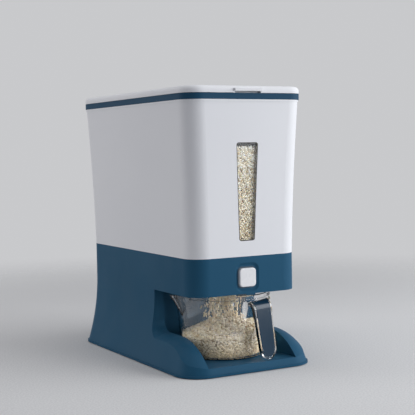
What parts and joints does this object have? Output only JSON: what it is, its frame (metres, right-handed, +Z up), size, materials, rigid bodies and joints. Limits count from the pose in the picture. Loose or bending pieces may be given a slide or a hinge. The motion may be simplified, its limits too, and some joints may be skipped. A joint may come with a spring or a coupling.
{
  "type": "rice dispenser",
  "caption": "Tapered grain bin with hinged lid and level window on a navy base; a front press button slides a shutter over a clear measuring jug in an open bay.",
  "frame": {"origin": "on the floor, under the centre of the outline", "axes": "+Z up, +X to the right seen from the front, the front with button and jug faces -Y"},
  "size_m": [0.206, 0.3655, 0.385],
  "materials": {
    "base_plastic": "satin",
    "underside_plastic": "matte",
    "screw_steel": "satin",
    "foot_rubber": "matte",
    "bin_plastic": "satin",
    "funnel_plastic": "satin",
    "clear_plastic": "polished",
    "gasket_plastic": "satin",
    "band_plastic": "satin",
    "lid_plastic": "satin",
    "seal_silicone": "matte",
    "panel_plastic": "satin",
    "shutter_plastic": "satin",
    "spring_steel": "polished",
    "button_plastic": "satin",
    "jug_plastic": "polished",
    "grip_plastic": "polished"
  },
  "bodies": {
    "base": {"base_housing": "base_plastic", "bottom_cover": "underside_plastic", "bottom_cover_screws": "screw_steel", "rubber_feet": "foot_rubber", "hopper_tub": "bin_plastic", "hopper_screws": "screw_steel", "hopper_funnel": "funnel_plastic", "window_pane": "clear_plastic", "window_gasket": "gasket_plastic", "rim_band": "band_plastic", "outlet_panel": "panel_plastic", "outlet_panel_screws": "screw_steel", "outlet_spout": "funnel_plastic", "shutter_guide": "shutter_plastic", "shutter_cover": "shutter_plastic", "shutter_seal": "seal_silicone", "shutter_screws": "screw_steel", "return_spring_left": "spring_steel", "return_spring_right": "spring_steel", "button_guide": "panel_plastic"},
    "lid": {"lid_panel": "lid_plastic", "lid_seal": "seal_silicone", "lid_hinge_pins": "screw_steel"},
    "button": {"button_cap": "button_plastic", "shutter_slide": "shutter_plastic"},
    "jug": {"jug_body": "jug_plastic", "jug_grip": "grip_plastic"}
  },
  "joints": [
    {"name": "lid_hinge", "type": "hinge", "parent": "base", "child": "lid", "pos_m": [0, 0.1802, 0.3782], "axis": [-1, 0, 0], "range_deg": [0, 95]},
    {"name": "button_press", "type": "slide", "parent": "base", "child": "button", "axis": [0, 1, 0], "range_m": [0, 0.01], "stiffness_N_per_m": 250, "springref_m": -0.006, "deforming": ["return_spring_left", "return_spring_right"]},
    {"name": "jug_pull", "type": "slide", "parent": "base", "child": "jug", "axis": [0, -1, 0], "range_m": [0, 0.2]}
  ]
}
